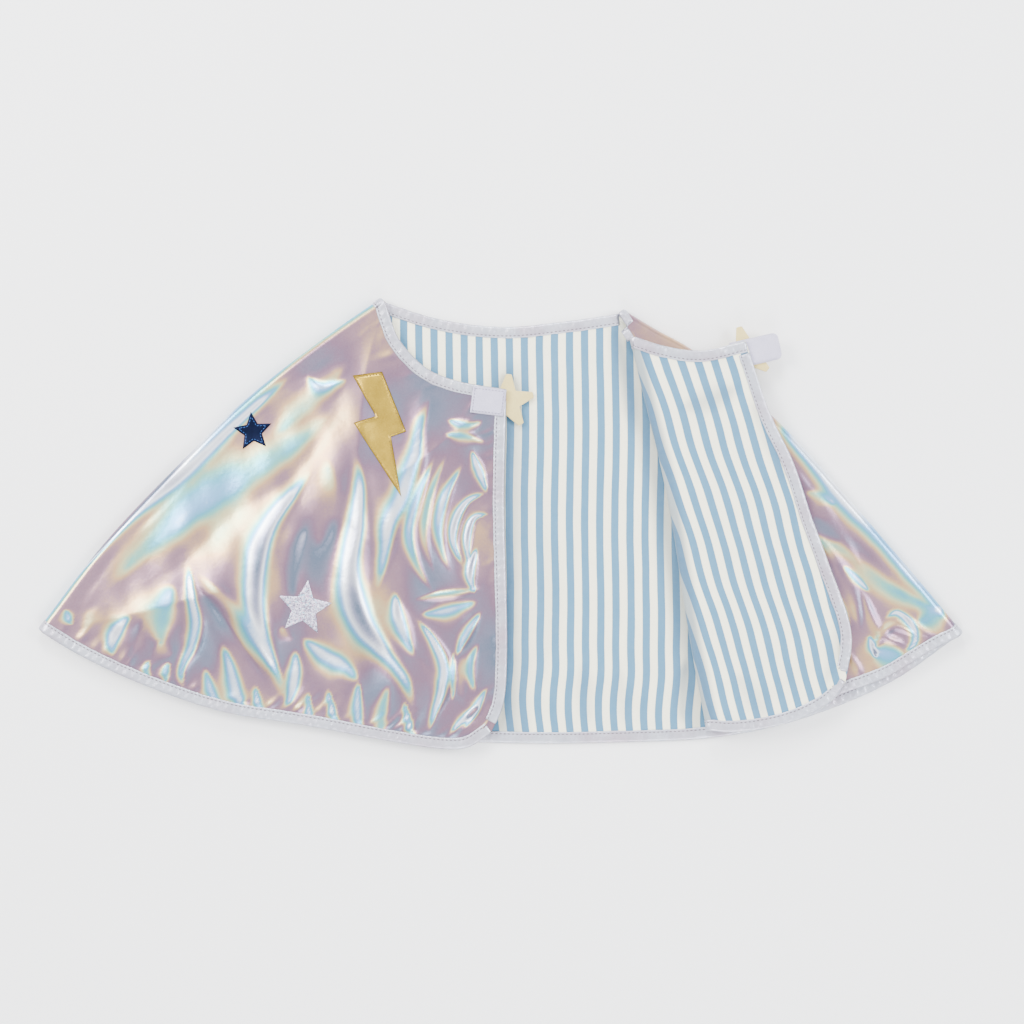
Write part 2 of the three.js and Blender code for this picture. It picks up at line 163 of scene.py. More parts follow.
def bump_along(grid, points, height, width, ends=0.25, lean=0.0):
    """The height that a soft ridge through drafted points adds to a grid of points. It narrows to
    a tip at each end, and it is steeper on one side than on the other where lean is above 0."""
    line = edge(*points)(np.linspace(0, 1, 120))
    flat = grid[..., :2].reshape(-1, 2)
    reach = 3 * width
    close = np.all((flat > line.min(axis=0) - reach) & (flat < line.max(axis=0) + reach), axis=1)
    apart = flat[close][:, None] - line[None]
    far = np.linalg.norm(apart, axis=2)
    nearest = far.argmin(axis=1)
    run = np.gradient(line, axis=0)[nearest]
    over = apart[np.arange(len(apart)), nearest]
    cross = (run[:, 0] * over[:, 1] - run[:, 1] * over[:, 0]) / np.linalg.norm(run, axis=1)
    inner = (nearest > 0) & (nearest < len(line) - 1)
    share = nearest / (len(line) - 1)
    tip = np.minimum(share, 1 - share)
    slim = 0.14 + 0.86 * np.minimum(tip / 0.42, 1) ** 0.75
    away = np.where(inner, np.abs(cross), far.min(axis=1)) / (width * slim * (1 - lean * np.sign(cross)))
    added = np.zeros(len(flat))
    added[close] = height * smooth(tip / ends + 0.03) * np.exp(-away ** 2)
    return added.reshape(grid.shape[:2])


def edge_distance(grid, rows=True, columns=(True, True)):
    """How far each point of a grid is from its bound edges, in mm, along its rows and columns."""
    down = np.cumsum(np.linalg.norm(np.diff(grid, axis=0, prepend=grid[:1]), axis=2), axis=0)
    across = np.cumsum(np.linalg.norm(np.diff(grid, axis=1, prepend=grid[:, :1]), axis=2), axis=1)
    away = [np.minimum(down, down[-1:] - down)] if rows else []
    if columns[0]:
        away.append(across)
    if columns[1]:
        away.append(across[:, -1:] - across)
    return np.min(away, axis=0), down, across


def cloth(name, grid, thickness, **values):
    """A sheet laid on a grid of points in mm. Each value is written on its points by name."""
    rows, columns = grid.shape[:2]
    bm = bmesh.new()
    bmesh.ops.create_grid(bm, x_segments=columns - 1, y_segments=rows - 1, size=0.5)
    layers = {k: bm.verts.layers.float.new(k) for k in values}
    for vert in bm.verts:
        i, j = round((0.5 - vert.co.y) * (rows - 1)), round((vert.co.x + 0.5) * (columns - 1))
        vert.co = Vector(grid[i, j]) * MM
        for k, layer in layers.items():
            vert[layer] = values[k][i, j]
    for face in bm.faces:
        face.smooth = True
    piece = finish_piece(name, bm)
    if thickness:
        solid = piece.modifiers.new("thickness", "SOLIDIFY")
        solid.thickness = thickness * MM
        solid.offset = 0
    return piece


def finish_piece(name, bm):
    mesh = bpy.data.meshes.new(name)
    bm.to_mesh(mesh)
    bm.free()
    piece = bpy.data.objects.new(name, mesh)
    bpy.context.scene.collection.objects.link(piece)
    return piece


class Shade:
    """A value in a material. Sums written with it add Math nodes."""

    def __init__(self, tree, socket=None):
        self.tree = tree
        self.socket = socket

    def node(self, kind, settings=None, inputs=None, output=0):
        made = self.tree.nodes.new(kind)
        for key, value in (settings or {}).items():
            if key == "stops":
                ramp = made.color_ramp
                while len(ramp.elements) < len(value):
                    ramp.elements.new(0.5)
                for element, (place, colour) in zip(ramp.elements, value):
                    element.position = place
                    element.color = (*colour, 1)
            else:
                setattr(made, key, value)
        for key, value in (inputs or {}).items():
            if isinstance(value, Shade):
                self.tree.links.new(value.socket, made.inputs[key])
            else:
                made.inputs[key].default_value = value
        return Shade(self.tree, made.outputs[output])

    def maths(self, operation, *values):
        return self.node("ShaderNodeMath", {"operation": operation}, dict(enumerate(values)))

    def __add__(self, other):
        return self.maths("ADD", self, other)

    def __radd__(self, other):
        return self.maths("ADD", other, self)

    def __sub__(self, other):
        return self.maths("SUBTRACT", self, other)

    def __rsub__(self, other):
        return self.maths("SUBTRACT", other, self)

    def __mul__(self, other):
        return self.maths("MULTIPLY", self, other)

    def __rmul__(self, other):
        return self.maths("MULTIPLY", other, self)


def linear(*levels):
    """A colour given as levels from 0 to 255 on a screen, as the light it stands for."""
    shares = [level / 255 for level in levels]
    return tuple(s / 12.92 if s <= 0.04045 else ((s + 0.055) / 1.055) ** 2.4 for s in shares)


def material(name, build, **shader):
    """A material whose constants are on its shader; build adds what changes over the surface."""
    made = bpy.data.materials.new(name)
    made.use_nodes = True
    tree = made.node_tree
    body = tree.nodes["Principled BSDF"]
    for key, value in shader.items():
        body.inputs[key.replace("_", " ").title()].default_value = value
    start = Shade(tree)
    for key, value in build(start).items():
        tree.links.new(value.socket, body.inputs[key])
    return made


def at(shade, scale):
    """The object's own coordinates, scaled so that 1 is the size given in mm."""
    where = shade.node("ShaderNodeTexCoord", output=3)
    size = [1 / (s * MM) for s in scale]
    return shade.node("ShaderNodeMapping", {}, {"Vector": where, "Scale": size})


def noise(shade, size, detail=2.0, rough=0.5):
    return shade.node("ShaderNodeTexNoise", {}, {"Vector": at(shade, (size, size, size)), "Scale": 1.0,
                                                 "Detail": detail, "Roughness": rough})


def mix(shade, share, first, second):
    made = shade.node("ShaderNodeMix", {"data_type": "RGBA"}, {0: share}, output=2)
    node = made.socket.node
    for key, value in ((6, first), (7, second)):
        if isinstance(value, Shade):
            shade.tree.links.new(value.socket, node.inputs[key])
        else:
            node.inputs[key].default_value = (*value, 1)
    return made


def relief(shade, height, depth, strength=1.0):
    """The bump that a height from 0 to 1 makes, where 1 stands depth mm proud."""
    return shade.node("ShaderNodeBump", {}, {"Height": height, "Distance": depth * MM, "Strength": strength})


stripe = 11.3  # one blue and one cream stripe of the lining
stripe_start = 0.39  # where the first pair of stripes falls, as a share of a pair
lining_blue = linear(62, 120, 154)
lining_cream = linear(255, 251, 224)


def striped_cotton(shade):
    across = shade.node("ShaderNodeAttribute", {"attribute_name": "across"}, output=2)
    wander = noise(shade, 30, 1.0) - 0.5
    turns = across * (1 / stripe) + (wander * 0.05 + stripe_start)
    pulse = shade.maths("PINGPONG", turns, 0.5) * 2
    thread = noise(shade, 0.9, 2.0) - 0.5
    edged = shade.maths("MULTIPLY_ADD", pulse + thread * 0.05 - 0.5, 14, 0.5)
    mask = shade.maths("SMOOTH_MAX", edged, 0.0, 0.05)
    mask = shade.node("ShaderNodeClamp", {}, {"Value": mask})
    colour = mix(shade, mask, lining_blue, lining_cream)
    shadow = shade.node("ShaderNodeAttribute", {"attribute_name": "shadow"}, output=2)
    shaded = mix(shade, shadow, colour, linear(44, 84, 116))
    slub = noise(shade, 5.0, 4.0, 0.7)
    worn = mix(shade, slub * 0.14, shaded, linear(170, 180, 180))
    warp = shade.node("ShaderNodeTexWave", {"bands_direction": "X"},
                      {"Vector": at(shade, (2.9, 2.9, 2.9)), "Scale": 1.0, "Distortion": 0.6})
    weft = shade.node("ShaderNodeTexWave", {"bands_direction": "Y"},
                      {"Vector": at(shade, (2.9, 2.9, 2.9)), "Scale": 1.0, "Distortion": 0.6})
    weave = warp * weft + noise(shade, 3.0, 3.0) * 0.8 + mask * 0.35
    return {"Base Color": worn, "Normal": relief(shade, weave, 0.22, 0.8),
            "Roughness": 0.74 + slub * 0.16}


cotton = material("striped_cotton", striped_cotton, sheen_weight=0.25, sheen_roughness=0.5)

# How the film's colour changes with the way that a fold of the cloth leans: painted reflection, the colours
# that a fixed light throws off each lean, with a painted white highlight at 0.79.
painted_reflection_stops = [
    (0.00, linear(82, 100, 122)), (0.07, linear(104, 106, 128)), (0.17, linear(122, 90, 112)),
    (0.25, linear(146, 110, 120)), (0.33, linear(196, 156, 108)), (0.41, linear(196, 194, 142)),
    (0.50, linear(116, 186, 170)), (0.58, linear(70, 164, 190)), (0.67, linear(112, 168, 216)),
    (0.79, linear(238, 244, 252)), (0.87, linear(196, 200, 214)), (0.94, linear(138, 142, 168)),
    (1.00, linear(82, 100, 122)),
]


def holographic_film(shade):
    # the film attribute holds painted reflection: a place on the colour run set by each point's lean towards
    # a fixed light
    film = shade.node("ShaderNodeAttribute", {"attribute_name": "film"}, output=2)
    glints = noise(shade, 1.6, 3.0, 0.6) - 0.5
    patches = noise(shade, 16, 2.0) - 0.5
    turned = shade.maths("FRACT", film + glints * 0.05 + patches * 0.07)
    colour = shade.node("ShaderNodeValToRGB", {"stops": painted_reflection_stops}, {"Fac": turned})
    grain = noise(shade, 0.7, 2.0)
    knit = mix(shade, grain * 0.25, colour, linear(160, 160, 176))
    creases = noise(shade, 13, 3.0, 0.55)
    crinkle = noise(shade, 4.2, 2.0, 0.5) * 0.25 + creases + grain * 0.05
    return {"Base Color": knit, "Normal": relief(shade, crinkle, 0.7, 0.4),
            "Roughness": 0.27 + grain * 0.12}


film = material("holographic_film", holographic_film, metallic=0.86, specular_tint=(0.9, 0.95, 1, 1))


def painted_reflection_values(grid, n, reflection_strokes=(), lean=(-0.40, 0.24), base=0.17):
    """How far along the film's run of colours each point is: its lean towards a fixed light, as painted
    reflection, and its drifts of colour.
    """
    x, y = grid[..., 0], grid[..., 1]
    value = base + n[..., 0] * lean[0] + n[..., 1] * lean[1]
    value = value + 0.05 * wave(x, y, 150, 135, 0.6) + 0.04 * wave(x, y, 71, 155, 1.9)
    value = value + 0.04 * wave(x, y, 104, 55, 2.6) + 0.07 * crumple(grid, 40, 5.5)
    # each stroke paints a run of reflection colour along a fold, turning it towards the painted white
    # highlight or away from it
    for points, amount, width in reflection_strokes:
        value = value + bump_along(grid, points, amount, 1.1 * width, 0.16, 0.3)
        value = value + bump_along(grid, points, 0.14 * amount, 2.3 * width, 0.4, -0.2)
    return value


def stripes_across(grid, lean_from=0.0, lean_to=0.0):
    """Where each point is across the stripes, in mm; the stripes lean by degrees from vertical."""
    x, y = grid[..., 0], grid[..., 1]
    share = smooth((x - x.min()) / max(np.ptp(x), 1))
    lean = np.radians(lean_from + (lean_to - lean_from) * share)
    return x * np.cos(lean) + y * np.sin(lean)


def flat_area(grid):
    """The area of a grid of points, in square metres."""
    a, b, c, d = grid[:-1, :-1], grid[:-1, 1:], grid[1:, 1:], grid[1:, :-1]
    return float(np.linalg.norm(np.cross(c - a, d - b), axis=2).sum() / 2) * MM * MM


outer_gap = 0.5      # from the middle of a panel to the middle of each ply, in mm
outer_ply = 0.4
lining_ply = 0.35

back_grid = panel(
    left_centre, right_centre,
    edge((-90, 167), (-50, 155), (0, 148.8), (50, 153), (90, 158.5)),
    edge((-346, -80), (-275, -113), (-212, -136), (-100, -156), (0, -162.5), (90, -162), (165, -158),
         (222, -146), (293, -117.5), (344, -83)),
    back_z, 260, 160)
back_flat = flat_area(back_grid)
near, _, _ = edge_distance(back_grid, columns=(False, False))
x, y = back_grid[..., 0], back_grid[..., 1]
inside = smooth((near - 6) / 30)
rumple = 0.9 * wave(x, y, 74, 12, 0.4) + 0.6 * wave(x, y, 47, -20, 2.2) + 0.45 * wave(x, y, 29, 70, 0.9)
for points, height, width in [
    (((28, -70), (36, -110), (30, -150)), 2.6, 9), (((62, -92), (70, -122), (66, -152)), 2.0, 7),
    (((100, -60), (96, -110), (108, -148)), 2.4, 9), (((12, -105), (48, -118), (92, -112)), 1.6, 10),
    (((20, 120), (60, 96), (92, 88)), 1.4, 12), (((14, 20), (60, 34), (104, 26)), 1.0, 16),
]:
    rumple = rumple + bump_along(back_grid, points, height, width)
back_grid[..., 2] += inside * (1.4 + np.maximum(rumple, -1.2) * 0.8)
back_n = facing(back_grid, -1)
# the outer's film colours are painted reflection, set by how the cloth leans
back_outer = cloth("back_outer", back_grid * [1, 1, 0] + [0, 0, back_z - outer_gap], outer_ply,
                   film=painted_reflection_values(back_grid, back_n))
shadow = 0.55 * smooth(1 - np.abs(x - 6) / 22) * smooth((130 - y) / 30) + \
    0.35 * smooth(1 - np.abs(x - np.interp(y, [-156, 1.5, 86, 137], [147, 121, 102, 90])) / 14)
shadow = shadow + sum(bump_along(back_grid, *shade) for shade in (
    (((97, 136), (116, 50), (130, -20), (150, -152)), 0.30, 9.0),
    (((84, 150), (89, 119), (101, 60)), 0.34, 8.0),
    (((139, -98), (134, -127), (136, -156)), 0.42, 6.0), (((60, -100), (65, -156)), 0.24, 7.0),
    (((88, -104), (92, -156)), 0.22, 5.0), (((30, 20), (34, -60), (28, -130)), 0.14, 10.0)))
sway = 1.2 * wave(x, y, 72, 84, 0.4) * smooth((-84 - y) / 40) + 0.5 * wave(x, y, 130, 82, 1.0)
back_lining = cloth("back_lining", back_grid - back_n * outer_gap, lining_ply,
                    across=stripes_across(back_grid) + sway, shadow=np.clip(shadow, 0, 1))
back_outer.data.materials.append(film)
back_lining.data.materials.append(cotton)
for piece, node, name in ((back_outer, "outer_back", "holographic_fabric"),
                          (back_lining, "lining_back", "striped_lining")):
    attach(piece, "back")
    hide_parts(node)

# ---- Back bindings ----------------------------------------------------------------------------
# A silver fold-over binding holds the two plies together at the neck and the hem. It is folded
# round the raw edges and topstitched near its inner edge with a grey-pink thread.

binding_width = 8.4
binding_cut = 0.019      # the binding's width before it is folded, in metres
binding_half = 1.05      # from the middle of the panel to the middle of the folded binding
binding_ply = 0.4
stitch_step = 3.1
stitch_length = 2.2
seam_inset = 6.6         # the topstitching's distance from the folded edge


def silver_film(shade):
    sheen = noise(shade, 11, 3.0, 0.6)
    warm = mix(shade, sheen, linear(164, 166, 180), linear(218, 222, 232))
    tints = noise(shade, 26, 1.0)
    tinted = mix(shade, shade.maths("MULTIPLY_ADD", tints, 1.6, -0.7), warm, linear(176, 146, 164))
    grain = noise(shade, 0.8, 2.0)
    puckers = noise(shade, 3.6, 3.0, 0.6)
    return {"Base Color": mix(shade, grain * 0.35, tinted, linear(136, 138, 152)),
            "Normal": relief(shade, puckers + grain * 0.18, 0.7, 0.6), "Roughness": 0.30 + grain * 0.18}


silver = material("silver_binding", silver_film, metallic=0.72)


def spun_thread(colour, dark):
    def build(shade):
        ply = noise(shade, 0.5, 2.0)
        return {"Base Color": mix(shade, ply, dark, colour), "Normal": relief(shade, ply, 0.12, 0.6)}
    return build


binding_thread = material("binding_thread", spun_thread(linear(120, 104, 118), linear(52, 42, 54)),
                          roughness=0.45, sheen_weight=0.3)


def arc_length(line):
    return np.concatenate([[0], np.cumsum(np.linalg.norm(np.diff(line, axis=0), axis=1))])


def resample(spacing, line, *others):
    """A line of points and the directions along it, taken again at an even spacing in mm."""
    along = arc_length(line)
    places = np.linspace(0, along[-1], max(int(along[-1] / spacing), 2) + 1)
    taken = [np.stack([np.interp(places, along, a[:, k]) for k in range(3)], axis=1)
             for a in (line, *others)]
    for a in taken[1:]:
        a /= np.maximum(np.linalg.norm(a, axis=1, keepdims=True), 1e-9)
    return places, taken


def binding_strip(name, line, inward, normal, seed, pinch=(True, True), reach=binding_width):
    """A binding folded over an edge line: its shape is a fold in section, puckered by its seam."""
    seam_at = min(seam_inset, reach - 1.2)
    places, (line, inward, normal) = resample(1.7, line, inward, normal)
    fold = binding_half * 1.3
    face = [(reach - 0.1, 0.98), (seam_at + 0.7, 0.94), (seam_at, 0.80), (seam_at - 0.9, 0.94),
            (reach * 0.5, 1.06), (reach * 0.32, 1.05)]
    rim = [(fold - math.cos(a) * fold, math.sin(a)) for a in np.linspace(math.pi / 2, -math.pi / 2, 7)]
    section = face + rim + [(x, -h) for x, h in face[::-1]]
    rng = np.random.default_rng(seed)
    knots = np.arange(0, places[-1] + 9, 4.5)
    wobble = np.interp(places, knots, rng.uniform(-1, 1, len(knots)))
    puff = 1 + 0.22 * np.sin(places * 2 * math.pi / 6.2) + 0.16 * wobble
    ends = np.ones(len(places))
    if pinch[0]:
        ends = np.minimum(ends, 0.72 + 0.28 * smooth(places / 2.5))
    if pinch[1]:
        ends = np.minimum(ends, 0.72 + 0.28 * smooth((places[-1] - places) / 2.5))
    grid = np.zeros((len(places), len(section), 3))
    for j, (x, side) in enumerate(section):
        swell = 1 + (puff - 1) * smooth(1 - abs(x - 3.2) / 3.4) * 1.5
        reach_in = x + 0.22 * wobble * (x / reach)
        height = side * binding_half * swell * ends
        grid[:, j] = line + inward * reach_in[:, None] + normal * height[:, None]
    strip = cloth(name, grid, binding_ply)
    strip.data.materials.append(silver)
    return strip, places[-1]


def stitches(name, runs, thread, length=stitch_length, width=0.8):
    """Rows of stitches: each run gives where they lie, which way they run and which way is up."""
    bm = bmesh.new()
    for line, normal, spacing in runs:
        _, (line, normal) = resample(spacing, line, normal)
        for here, nxt, up in zip(line, line[1:], normal):
            run = Vector(nxt - here).normalized()
            up = Vector(up)
            side = up.cross(run).normalized()
            middle = Vector((here + nxt) / 2) * MM
            turn = Matrix((run, side, run.cross(side))).transposed().to_4x4()
            size = Matrix.Diagonal((length * MM / 2, width * MM / 2, width * MM * 0.42, 1))
            bmesh.ops.create_uvsphere(bm, u_segments=6, v_segments=4, radius=1,
                                      matrix=Matrix.Translation(middle) @ turn @ size)
    for face in bm.faces:
        face.smooth = True
    piece = finish_piece(name, bm)
    piece.data.materials.append(thread)
    return piece


def seam_of(line, inward, normal):
    height = 0.80 * binding_half + binding_ply / 2 + 0.14
    return line + inward * seam_inset + normal * height, normal, stitch_step


def border(grid, n, which):
    """An edge of a grid of points, with the directions into the cloth and out of its face."""
    if which == "neck":
        line, inner, normal = grid[0], grid[3] - grid[0], n[0]
    elif which == "hem":
        line, inner, normal = grid[-1], grid[-4] - grid[-1], n[-1]
    else:
        line, inner, normal = grid[:, -1], grid[:, -4] - grid[:, -1], n[:, -1]
    along = np.gradient(line, axis=0)
    along /= np.maximum(np.linalg.norm(along, axis=1, keepdims=True), 1e-9)
    inner = inner - along * (inner * along).sum(axis=1, keepdims=True)
    inner /= np.maximum(np.linalg.norm(inner, axis=1, keepdims=True), 1e-9)
    square = np.cross(along, inner)
    square *= np.sign((square * normal).sum(axis=1, keepdims=True))
    return line, inner, square


strips = {}
for which, seed in (("neck", 3), ("hem", 4)):
    line, inner, square = border(back_grid, -back_n, which)
    strip, length = binding_strip(f"back_{which}_binding", line, inner, square, seed, pinch=(False, False))
    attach(strip, "back")
    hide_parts(f"{which}_binding_back")
    strips[which] = seam_of(line, inner, square)
back_stitches = stitches("back_stitches", list(strips.values()), binding_thread)
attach(back_stitches, "back")

# ---- Left front -------------------------------------------------------------------------------
# The left front is the same two plies, carried round the left side fold and laid over the back with
# the holographic fabric up. The fabric is a stiff foil laminate, so it stands in sharp creases that
# run down to the hem and swirl near the front edge, and its colours follow each crease as painted
# reflection, set by how the cloth leans.


def folded_over(centre, out, radius, low, flat, columns=14):
    """A panel's grid with half a turn of cloth put before it, up from the layer below."""
    rows = len(flat)
    angle = np.linspace(0, math.pi, columns, endpoint=False)
    foot = centre(np.linspace(0, 1, rows))[:, None]
    plan = foot + (np.sin(angle) * radius)[None, :, None] * out
    height = np.broadcast_to(low + radius * (1 - np.cos(angle)), plan.shape[:2])
    return np.concatenate([np.dstack([plan, height]), flat], axis=1)


def puckers(across, away, seed, spacing, height, width, reach, lean=0.4):
    """Short creases that a sewn edge throws into the cloth, square to the edge."""
    rng = np.random.default_rng(seed)
    total = np.zeros(across.shape)
    place = spacing * rng.random()
    while place < across.max():
        tall, wide = height * rng.uniform(0.4, 1.2), width * rng.uniform(0.7, 1.3)
        far = reach * rng.uniform(0.5, 1.3)
        slant = lean * rng.uniform(-1, 1)
        total += tall * np.exp(-((across - place - slant * away) / wide) ** 2) * smooth(1.15 - away / far)
        place += spacing * rng.uniform(0.6, 1.4)
    return total


corner_trim = slice(6, -5)  # a front binding stops short of the neck and hem bindings


def two_plies(name, parts, grid, n, colours, across, shadow, under):
    """A panel's outer fabric and its striped lining, on either side of the panel's middle."""
    # the outer ply's film values are painted reflection
    made = [cloth(f"{name}_outer", grid + n * outer_gap, outer_ply, film=colours),
            cloth(f"{name}_lining", grid - n * outer_gap, lining_ply, across=across, shadow=shadow)]
    for piece, finish, ply, slot_name, below in zip(
            made, (film, cotton), ("outer", "lining"), ("holographic_fabric", "striped_lining"), under):
        piece.data.materials.append(finish)
        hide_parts(*(f"{ply}_{part}" for part in parts))
    return made


def bound_edges(name, grid, n, edges):
    """A panel's bindings, each with the line that its stitches follow."""
    made, runs = [], []
    for which, nodes, seed in edges:
        sides = border(grid, n, which)
        if which == "front":
            sides = [side[corner_trim] for side in sides]
        strip, length = binding_strip(f"{name}_{which}_binding", *sides, seed, pinch=(False, True))
        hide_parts(*nodes)
        made.append(strip)
        runs.append(seam_of(*sides))
    return made, runs


def between_bodies(piece, hinge, out, before=6.0, after=3.0):
    """Bakes the piece's placement into its mesh. The places before and after the hinge line are worked out,
    and nothing uses them.
    """
    foot = hinge.mean(axis=0)
    start, end = foot + out * before, foot - out * after
    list(start * MM)
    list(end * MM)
    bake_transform(piece)


left_panel = panel(
    left_centre, edge((3.3, 99), (1.5, 25.5), (1.3, -134), (-8, -157)),
    edge((-87, 164), (-82, 148), (-76.7, 136), (-57, 115.2), (-35.4, 105.8), (3.3, 99)),
    edge((-343, -82.8), (-318, -98), (-275, -118.5), (-212, -140.6), (-148.8, -151.5), (-42.4, -169.4),
         (-25, -168), (-8, -157)),
    front_z, 190, 186)
left_grid = folded_over(left_centre, left_out, side_bend, back_z, left_panel)
left_flat = flat_area(left_grid)
flat_left_n = facing(left_grid, 1)
left_hems, down, across = edge_distance(left_grid, columns=(False, True))
turn_length = math.pi * side_bend
near = np.minimum(left_hems, np.maximum(across - turn_length, 0))
left_lift = 10 * smooth((near - 11.5) / 85)
hem_away = down[-1:] - down

left_folds = [
    # each fold's points, how far it stands up, how wide it is, and how far it turns the painted reflection
    # colour
    # the broad folds that fall from the neck
    (((-141.0, 38.5), (-154.8, 20.4), (-170.9, -3.7), (-179.6, -31.3), (-181.2, -58.8),
      (-174.8, -88.7), (-162.8, -123.1)), 3.6, 8.0, 0.6),
    (((-109.3, 54.8), (-105.0, 30.7), (-105.9, -3.7), (-110.0, -35.9), (-102.7, -70.3), (-87.1, -95.5),
      (-71.0, -118.5), (-64.6, -143.8)), 4.2, 8.6, 0.62),
    (((-53.1, 95.0), (-60.0, 72.1), (-62.9, 49.1), (-72.1, 19.3), (-81.3, -1.4), (-85.9, -22.1),
      (-92.8, -51.9)), 3.4, 7.0, 0.52),
    (((-130.7, 49.1), (-124.9, 14.7), (-138.7, -22.1)), 1.2, 9.0, 0.2),
    (((-144.5, -1.4), (-152.5, -31.3), (-155.9, -58.8)), -1.0, 6.0, -0.18),
    (((-126.1, 7.8), (-126.1, -31.3), (-130.7, -68.0)), -0.8, 9.0, -0.1),
    # the flat run beside the side fold
    (((-126.1, 82.4), (-162.8, 49.1), (-204.1, 23.8), (-243.2, -3.7), (-277.6, -31.3),
      (-297.1, -53.1)), 1.4, 14.0, 0.31),
    (((-155.9, 111.1), (-199.6, 72.1), (-236.3, 37.6), (-277.6, 3.2), (-309.8, -29.0),
      (-331.3, -53.1)), 1.0, 6.5, 0.56),
    (((-114.6, 120.3), (-139.9, 90.4), (-172.0, 62.9)), 0.6, 8.0, 0.2),
    (((-146.7, 109.7), (-133.0, 100.1), (-114.6, 106.5)), 1.8, 4.2, 0.3),
    (((-114.6, 92.7), (-149.0, 42.2), (-199.6, 5.5), (-245.5, -35.9), (-291.4, -70.3)), -1.0, 9.0, 0.03),
    # the creases in the low corner by the fold
    (((-234.0, -29.4), (-230.1, -54.2), (-226.2, -74.9), (-229.9, -93.3), (-238.6, -111.6),
      (-237.4, -127.7)), 2.6, 4.6, 0.6),
    (((-245.5, -45.0), (-251.2, -74.9), (-254.7, -93.3)), 1.6, 10.0, 0.42),
    (((-227.1, -37.7), (-199.6, -63.4), (-183.0, -88.7), (-167.9, -111.6), (-162.4, -134.6)),
      2.4, 6.2, 0.25),
    (((-232.2, -40.4), (-208.7, -70.3), (-190.4, -95.5), (-172.0, -123.1)), -1.2, 3.2, -0.06),
    (((-276.5, -68.5), (-287.7, -86.4), (-291.9, -101.3)), 1.6, 5.0, 0.46),
    (((-267.3, -70.3), (-273.5, -88.7), (-277.6, -107.0)), -1.2, 4.2, -0.08),
    (((-263.8, -101.3), (-266, -132)), 1.2, 3.6, 0.46),
    (((-248.2, -103.6), (-251.4, -122.0)), 1.2, 3.2, 0.48),
    (((-209.2, -88.7), (-200.5, -111.6), (-190, -158)), 1.6, 5.6, 0.46),
    (((-222.5, -107.0), (-208, -150)), 1.2, 4.4, 0.44),
    (((-184.6, -120.8), (-176, -158)), 1.0, 3.2, 0.46),
    (((-325.8, -64.6), (-321.2, -77.2)), 1.0, 3.6, 0.4),
    (((-312.1, -68.0), (-293.7, -77.2)), 0.8, 9.0, 0.06),
    (((-257.0, -88.7), (-245.5, -100.1)), 0.8, 6.0, 0.2),
    # the middle, by the hem
    (((-154.1, -93.7), (-152.3, -111.6), (-157.1, -131.1), (-162.8, -139.2)), 2.0, 5.0, 0.54),
    (((-150.0, -85.4), (-133.0, -97.8), (-114.6, -108.4), (-106.3, -120.8)), 1.8, 7.0, 0.48),
    (((-106.8, -117.4), (-106, -168)), 1.6, 4.2, 0.58),
    (((-84.3, -119.7), (-93, -172)), 1.6, 5.0, 0.46),
    (((-80.2, -50.8), (-74.2, -74.9), (-65.0, -101.3)), 2.2, 4.8, 0.55),
    (((-144.5, -125.4), (-142, -166)), 1.2, 3.0, 0.5),
    (((-130.7, -123.1), (-118, -170)), 1.2, 3.0, 0.5),
    (((-73.3, -132.3), (-62, -176)), 1.2, 3.4, 0.52),
    (((-165.1, -77.2), (-155.9, -88.7)), 0.8, 3.4, 0.18),
    # the creases that the front seam pulls in
    (((-49.9, 49.1), (-61.8, 19.3), (-67.8, -8.3), (-61.8, -33.6), (-50.8, -53.1)), 1.7, 3.8, 0.42),
    (((-41.1, 51.4), (-53.8, 14.7), (-56.7, -12.9), (-49.9, -40.4)), 1.0, 2.6, 0.22),
    (((-28.7, 44.5), (-41.1, 19.3), (-46.2, -3.7), (-43.4, -24.4), (-37.7, -38.1)), 1.7, 3.6, 0.45),
    (((-10.8, 22.5), (-25.1, 15.1), (-33.3, 0.9), (-35.6, -15.2), (-28.7, -33.6)), 1.8, 3.0, 0.57),
    (((-9.0, 6.4), (-20.0, 2.7), (-24.6, -9.4), (-25.1, -31.3)), 1.6, 2.4, 0.57),
    (((-18.6, -18.6), (-22.8, -40.4), (-20.0, -54.2)), 1.8, 3.0, 0.6),
    (((-65.9, -57.9), (-48.0, -54.7), (-29.7, -52.4), (-14.5, -49.2)), 2.2, 2.6, 0.28),
    (((-61.8, -68.9), (-41.1, -66.2), (-17.3, -58.8)), 1.0, 4.6, 0.5),
    (((-64.6, -70.3), (-50.3, -88.7), (-42.1, -107.0), (-43.4, -125.4), (-50.3, -143.8),
      (-55.4, -159.8)), 2.8, 3.8, 0.6),
    (((-15.0, -66.2), (-28.7, -90.0), (-34.7, -101.3)), 2.0, 3.0, 0.55),
    (((-36.1, -95.5), (-36.5, -134.6)), 1.4, 1.8, 0.5),
    (((-28.7, -97.8), (-30.1, -132.3)), 0.9, 4.0, 0.1),
    (((-17.7, -89.8), (-22.8, -109.3), (-20.0, -127.7)), 1.6, 3.2, 0.46),
    (((-10.8, -123.1), (-20.5, -143.8), (-29.7, -155.2)), 1.4, 2.8, 0.52),
    (((-15.9, -136.9), (-38.8, -157.5)), 1.2, 2.6, 0.5),
    (((-41.6, 76.7), (-25.1, 72.1), (-13.6, 75.7)), 1.4, 3.2, 0.45),
    (((-43.4, 65.6), (-27.4, 63.8), (-11.3, 59.2)), 1.4, 3.2, 0.4),
    (((-23.2, 54.8), (-15.9, 37.6), (-10.8, 21.1)), 1.8, 3.0, 0.57),
    (((-59.5, 101.9), (-71.0, 81.2), (-73.3, 62.9)), -0.6, 7.0, 0.06),
]
ridged = sum(bump_along(left_grid, points, height, 1.15 * width, 0.42, 0.2)
             for points, height, width, turn in left_folds)
x, y = left_grid[..., 0], left_grid[..., 1]
